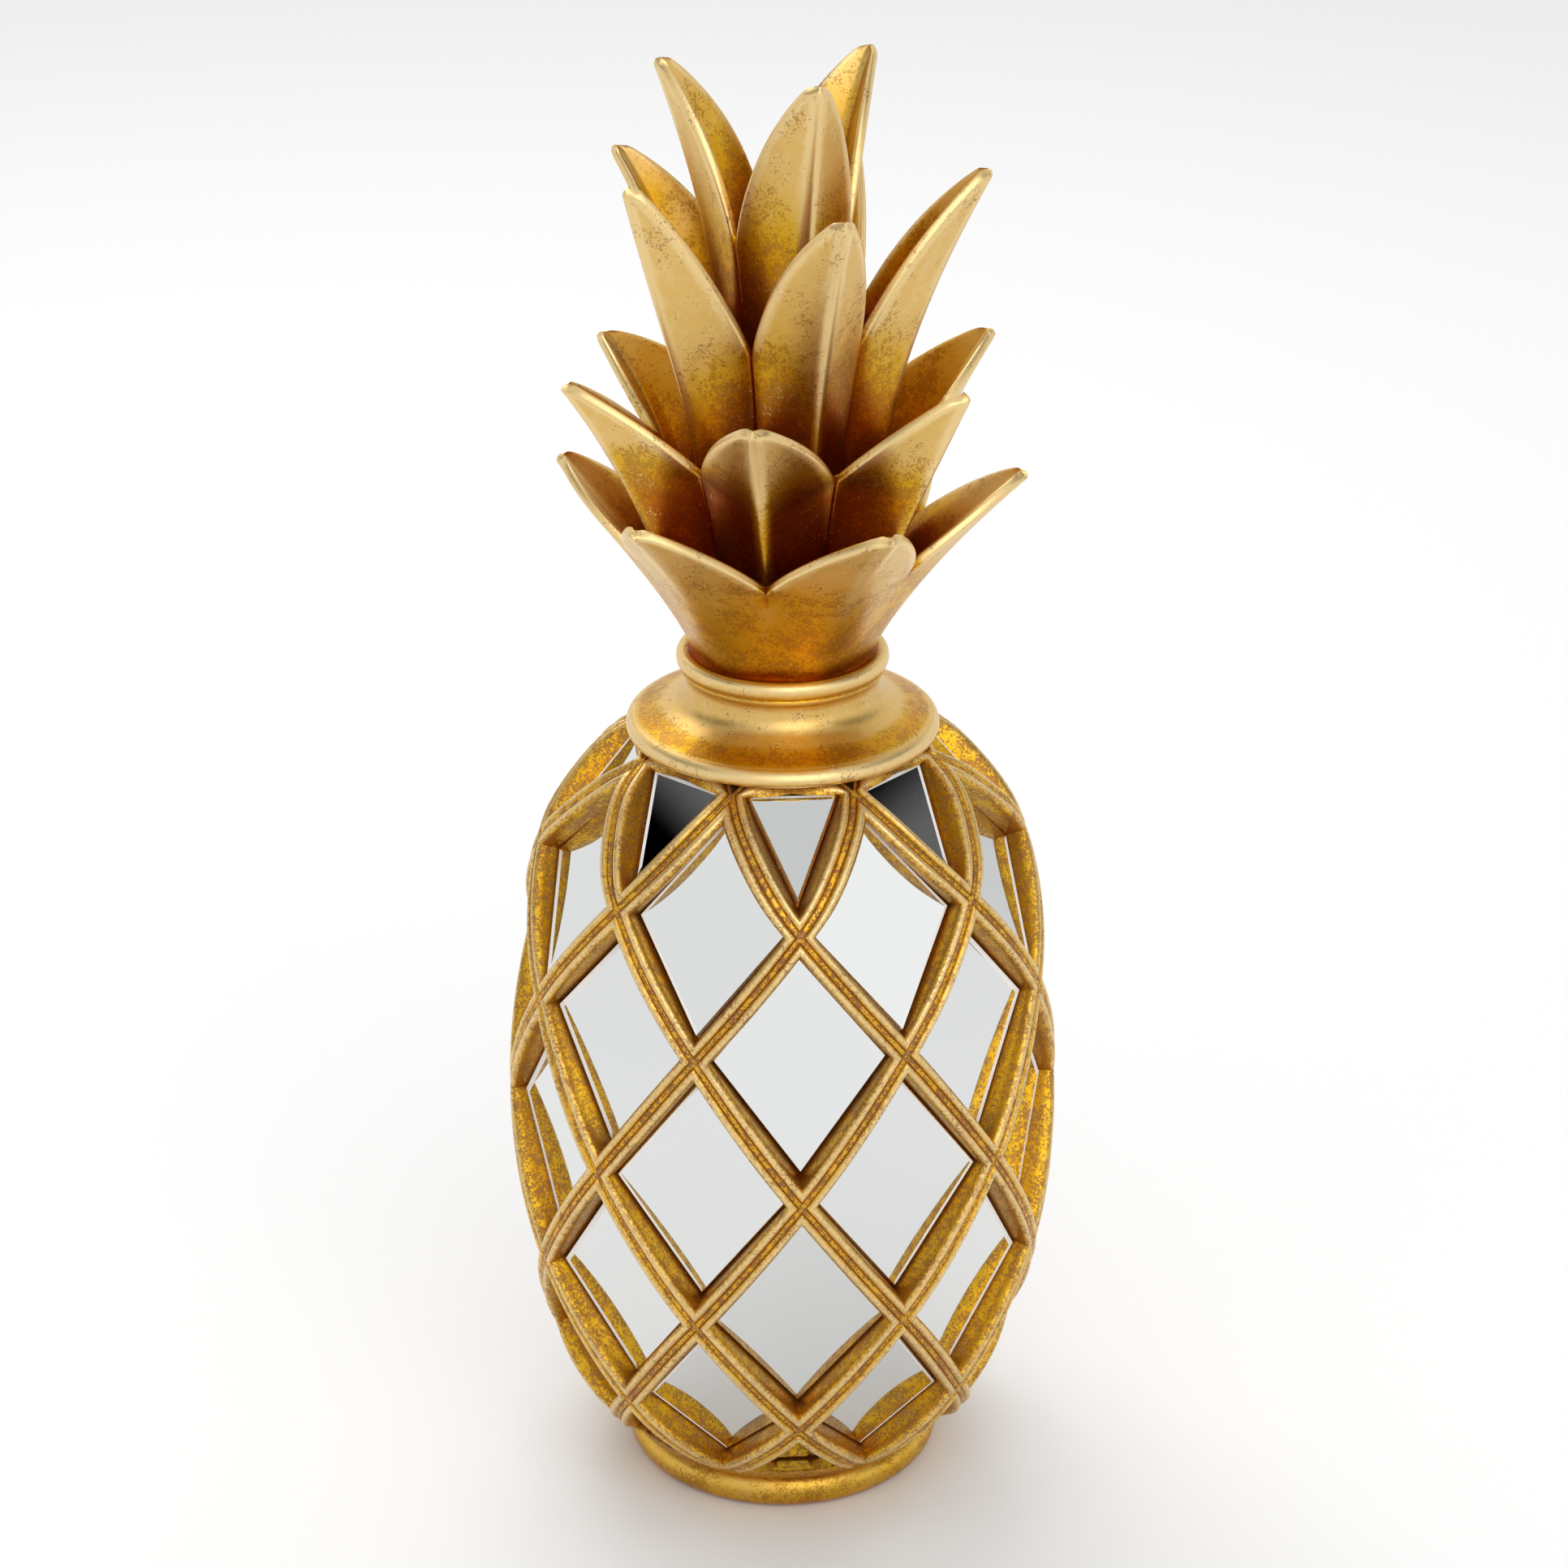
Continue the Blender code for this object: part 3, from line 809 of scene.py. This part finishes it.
def make_tiles(mirror, ground_edge_and_reflection):
    """The mirror tiles: the CAD's, merged and bevelled, silvered in front, with ground edges, and a
    painted reflection of those edges on part of the front's rim.
    """
    for name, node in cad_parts.items():
        if not name.startswith("mirror"):
            continue
        bm = bmesh.new()
        bm.from_mesh(node.data)
        bm.transform(node.matrix_world)
        bmesh.ops.remove_doubles(bm, verts=bm.verts, dist=MM / 100)
        bmesh.ops.dissolve_limit(bm, angle_limit=math.radians(2), verts=bm.verts, edges=bm.edges)
        bmesh.ops.bevel(
            bm, geom=bm.edges[:], offset=TILE_BEVEL, affect="EDGES", segments=1, profile=0.5, material=-1
        )
        bmesh.ops.recalc_face_normals(bm, faces=bm.faces)
        facing, _ = tile_plane(name)
        front = [face for face in bm.faces if face.normal.dot(facing) > 0.99]
        centre = sum((vert.co for vert in front[0].verts), Vector()) / len(front[0].verts)
        width = max(LEAST_EDGE_REFLECTION, EDGE_REFLECTION_SLANT * abs(centre.x))
        rim = bmesh.ops.inset_region(
            bm, faces=front, thickness=width, use_boundary=True, use_even_offset=True
        )["faces"]
        for face in bm.faces:
            face.material_index = 0 if face.normal.dot(facing) > 0.3 else 1
        # Part of the rim gets the ground glass: a painted reflection of the glass edge seen through the
        # front
        for face in rim:
            out = face.calc_center_median() - centre
            slanted = out.x * centre.x > 0 and abs(centre.x) > SLANT_REACH
            topmost = name.startswith("mirror_row1") and out.z > out.length / 2
            if slanted or topmost:
                face.material_index = 1
        new_piece(f"{name}_glass", bm, name, [mirror, ground_edge_and_reflection], TILE_SHARP)


class Field:
    """A shader socket that arithmetic works on."""

    def __init__(self, tree, socket):
        self.tree = tree
        self.socket = socket

    def node(self, kind, settings=None, **values):
        """A new node of this type, with its settings made first and then its sockets fed."""
        node = self.tree.nodes.new(kind)
        for name, setting in (settings or {}).items():
            setattr(node, name, setting)
        for name, value in values.items():
            key = int(name[1:]) if name[1:].isdigit() else name.replace("_", " ")
            if isinstance(value, Field):
                self.tree.links.new(value.socket, node.inputs[key])
            else:
                node.inputs[key].default_value = value
        return node

    def number(self, operation, *values):
        """A Math node's result."""
        sockets = {f"_{i}": value for i, value in enumerate(values)}
        node = self.node("ShaderNodeMath", {"operation": operation}, **sockets)
        return Field(self.tree, node.outputs[0])

    def __add__(self, other):
        return self.number("ADD", self, other)

    def __sub__(self, other):
        return self.number("SUBTRACT", self, other)

    def __mul__(self, other):
        return self.number("MULTIPLY", self, other)

    def __radd__(self, other):
        return self.number("ADD", other, self)

    def __rsub__(self, other):
        return self.number("SUBTRACT", other, self)

    def __rmul__(self, other):
        return self.number("MULTIPLY", other, self)

    def rise(self, low, high):
        """0 below low, 1 above high, and a smooth rise between."""
        settings = {"interpolation_type": "SMOOTHSTEP"}
        node = self.node("ShaderNodeMapRange", settings, Value=self, From_Min=low, From_Max=high)
        return Field(self.tree, node.outputs["Result"])

    def blend(self, first, second):
        """The first colour where this is 0, and the second where it is 1."""
        node = self.node("ShaderNodeMix", {"data_type": "RGBA"}, _0=self, _6=first, _7=second)
        return Field(self.tree, node.outputs[2])

    def grain(self, scale, detail, roughness=0.55):
        """Noise over this position, with scale lumps to a metre."""
        node = self.node(
            "ShaderNodeTexNoise", Vector=self, Scale=scale, Detail=detail, Roughness=roughness
        )
        return Field(self.tree, node.outputs["Fac"])

    def bump(self, strength, distance):
        """A bump from this height."""
        node = self.node("ShaderNodeBump", Height=self, Strength=strength, Distance=distance)
        return Field(self.tree, node.outputs[0])


def new_material(name, **constants):
    """A new material, its shader, and the position over the object as a field."""
    material = bpy.data.materials.new(name)
    material.use_nodes = True
    shader = material.node_tree.nodes["Principled BSDF"]
    for key, value in constants.items():
        shader.inputs[key.replace("_", " ")].default_value = value
    place = Field(material.node_tree, None).node("ShaderNodeTexCoord")
    return material, shader, Field(material.node_tree, place.outputs["Object"])


def feed(shader, **fields):
    """Links fields to a shader's sockets of the same names."""
    for key, field in fields.items():
        field.tree.links.new(field.socket, shader.inputs[key.replace("_", " ")])


# Colours of the gilding, from rubbed with painted highlights to deeply stained with painted shade, and
# of its worn specks and the ground under it
PALE_GOLD = (0.830, 0.610, 0.280, 1.0)
LEAF_GOLD = (0.710, 0.460, 0.135, 1.0)
HONEY = (0.660, 0.370, 0.018, 1.0)
AMBER = (0.640, 0.275, 0.003, 1.0)
BURNT_BROWN = (0.380, 0.075, 0.001, 1.0)
WORN_BROWN = (0.290, 0.120, 0.026, 1.0)
GROUND_BROWN = (0.280, 0.125, 0.045, 1.0)


def antique_gilding():
    """Gold leaf over a brown ground, glazed amber to brown in the hollows with painted shade there, and
    rubbed on the ridges with painted highlights there.
    """
    material, shader, place = new_material("antique_gilding")
    stain_and_shade, ground, rub_and_highlight = (
        Field(place.tree, place.node("ShaderNodeAttribute", {"attribute_name": name}).outputs["Fac"])
        for name in FINISH
    )
    broad = place.grain(40, 3.0)
    mottle = place.grain(260, 5.0, 0.65)
    spatter = place.grain(700, 5.0, 0.72)
    wear = place.grain(75, 4.0, 0.6)
    dots = place.grain(1400, 1.5, 0.5)
    glaze_and_shade = stain_and_shade + (broad - 0.5) * 0.30 + (mottle - 0.5) * 0.35
    gritty = stain_and_shade * 0.8 + (wear - 0.5) * 1.7 + (mottle - 0.5)
    gritty = gritty + (spatter - 0.5) * 1.4 + (dots - 0.5) * 1.1
    patches = wear.rise(0.46, 0.62)
    flecks = (dots + (mottle - 0.5) * 0.8).rise(0.60, 0.66) * stain_and_shade.rise(0.45, 0.70) * patches
    bare = ground * (mottle + (spatter - 0.5) * 1.2 + (dots - 0.5) * 0.6).rise(0.45, 0.54)
    # Rubbed gilding and painted highlights make it paler
    paleness = (rub_and_highlight + (mottle - 0.5) * 1.2 + (broad - 0.5) * 0.6 + 0.24).rise(0.05, 0.85)
    colour = paleness.blend(LEAF_GOLD, PALE_GOLD)
    # Stain and painted shade deepen it from honey through amber to burnt brown
    colour = glaze_and_shade.rise(0.12, 0.48).blend(colour, HONEY)
    colour = glaze_and_shade.rise(0.42, 0.75).blend(colour, AMBER)
    colour = (gritty.rise(0.32, 0.60) * 0.60).blend(colour, WORN_BROWN)
    colour = glaze_and_shade.rise(0.72, 1.05).blend(colour, BURNT_BROWN)
    colour = bare.blend(colour, GROUND_BROWN)
    colour = (flecks * 0.85).blend(colour, LEAF_GOLD)
    feed(shader, Base_Color=colour)
    feed(shader, Metallic=1.0 - bare * 0.35)
    feed(shader, Roughness=0.29 + mottle * 0.16 + bare * 0.15 - stain_and_shade * 0.07)
    height = mottle * 0.6 + spatter * 0.30 + broad * 2.0 - bare * 0.15
    feed(shader, Normal=height.bump(0.45, 0.0003))
    return material


def silvered_glass():
    """A mirror, with a trace of dust."""
    silver = (0.75, 0.765, 0.76, 1.0)
    material, shader, place = new_material("silvered_glass", Metallic=1.0, Base_Color=silver)
    dust = place.grain(700, 2.0).rise(0.72, 0.76)
    smear = place.grain(60, 2.0).rise(0.55, 0.8)
    feed(shader, Roughness=0.015 + dust * 0.25 + smear * 0.02)
    return material


def ground_glass():
    """The pale ground edge of the mirror glass, also painted on part of a tile's front as a painted
    reflection of that edge.
    """
    material, shader, place = new_material("ground_glass", Base_Color=(0.93, 0.94, 0.93, 1.0))
    feed(shader, Roughness=0.15 + place.grain(500, 3.0) * 0.4)
    return material


def pale_floor():
    """The plain floor's finish."""
    material, shader, place = new_material("pale_floor", Base_Color=(0.93, 0.93, 0.93, 1.0))
    feed(shader, Roughness=0.7 + place.grain(3, 2.0) * 0.1)
    return material


def make_floor():
    """A plain pale floor."""
    bm = bmesh.new()
    bmesh.ops.create_grid(bm, x_segments=1, y_segments=1, size=6.0)
    mesh = bpy.data.meshes.new("floor")
    bm.to_mesh(mesh)
    bm.free()
    mesh.materials.append(pale_floor())
    floor = bpy.data.objects.new("floor", mesh)
    bpy.context.scene.collection.objects.link(floor)


def make_studio():
    """White walls, dimmer overhead, with a dark opening and a black strip high up on both sides."""
    world = bpy.data.worlds.new("studio")
    bpy.context.scene.world = world
    world.use_nodes = True
    tree = world.node_tree
    field = Field(tree, None)
    way = field.node("ShaderNodeTexCoord")
    parts = field.node("ShaderNodeSeparateXYZ", Vector=Field(tree, way.outputs["Generated"]))
    x, y, z = (Field(tree, output) for output in parts.outputs)
    side = field.number("ABSOLUTE", x)
    opening = z.rise(0.40, 0.50) * z.rise(0.78, 0.70) * side.rise(0.64, 0.70)
    strip = side.rise(0.741, 0.752) * side.rise(0.812, 0.800) * z.rise(0.46, 0.54) * z.rise(0.80, 0.72)
    ceiling = z.rise(0.60, 0.80)
    bright_side = x.rise(0.2, 0.8) * (y * -1.0).rise(0.3, 0.6)
    light = (0.95 + bright_side * 0.18 - ceiling * 0.2) * (1.0 - opening * 0.84) * (1.0 - strip)
    back = tree.nodes["Background"]
    back.inputs["Strength"].default_value = STUDIO_LIGHT
    colour = (light * (1.0 / STUDIO_LIGHT)).blend((0.0, 0.0, 0.0, 1.0), (1.0, 1.0, 1.0, 1.0))
    feed(back, Color=colour)


def make_lamp(name, azimuth, elevation, distance, size, power):
    """A soft square lamp that faces the object."""
    data = bpy.data.lights.new(name, "AREA")
    data.shape = "SQUARE"
    data.size = size
    data.energy = power
    lamp = bpy.data.objects.new(name, data)
    flat = distance * math.cos(elevation)
    lamp.location = around(azimuth, flat, distance * math.sin(elevation) + MIDDLE_HEIGHT)
    to_object = Vector((0, 0, MIDDLE_HEIGHT)) - lamp.location
    lamp.rotation_euler = to_object.to_track_quat("-Z", "Y").to_euler()
    bpy.context.scene.collection.objects.link(lamp)


def make_camera():
    """The camera, where the photograph was taken from."""
    data = bpy.data.cameras.new("camera")
    data.lens = CAMERA_LENS
    data.sensor_width = CAMERA_SENSOR
    data.shift_x = CAMERA_SHIFT
    camera = bpy.data.objects.new("camera", data)
    camera.location = around(CAMERA_AZIMUTH, CAMERA_REACH, CAMERA_HEIGHT)
    camera.rotation_euler = (math.pi / 2 - CAMERA_PITCH, 0, CAMERA_AZIMUTH)
    bpy.context.scene.collection.objects.link(camera)
    bpy.context.scene.camera = camera


gilding = antique_gilding()
make_body(gilding)
make_crown(gilding)
make_tiles(silvered_glass(), ground_glass())
make_floor()
make_studio()
make_lamp("back", math.radians(195), math.radians(58), distance=2.0, size=1.4, power=15.0)
make_lamp("front", math.radians(12), math.radians(33), distance=1.7, size=1.2, power=6.0)
make_camera()
bpy.context.scene.view_settings.view_transform = "Standard"
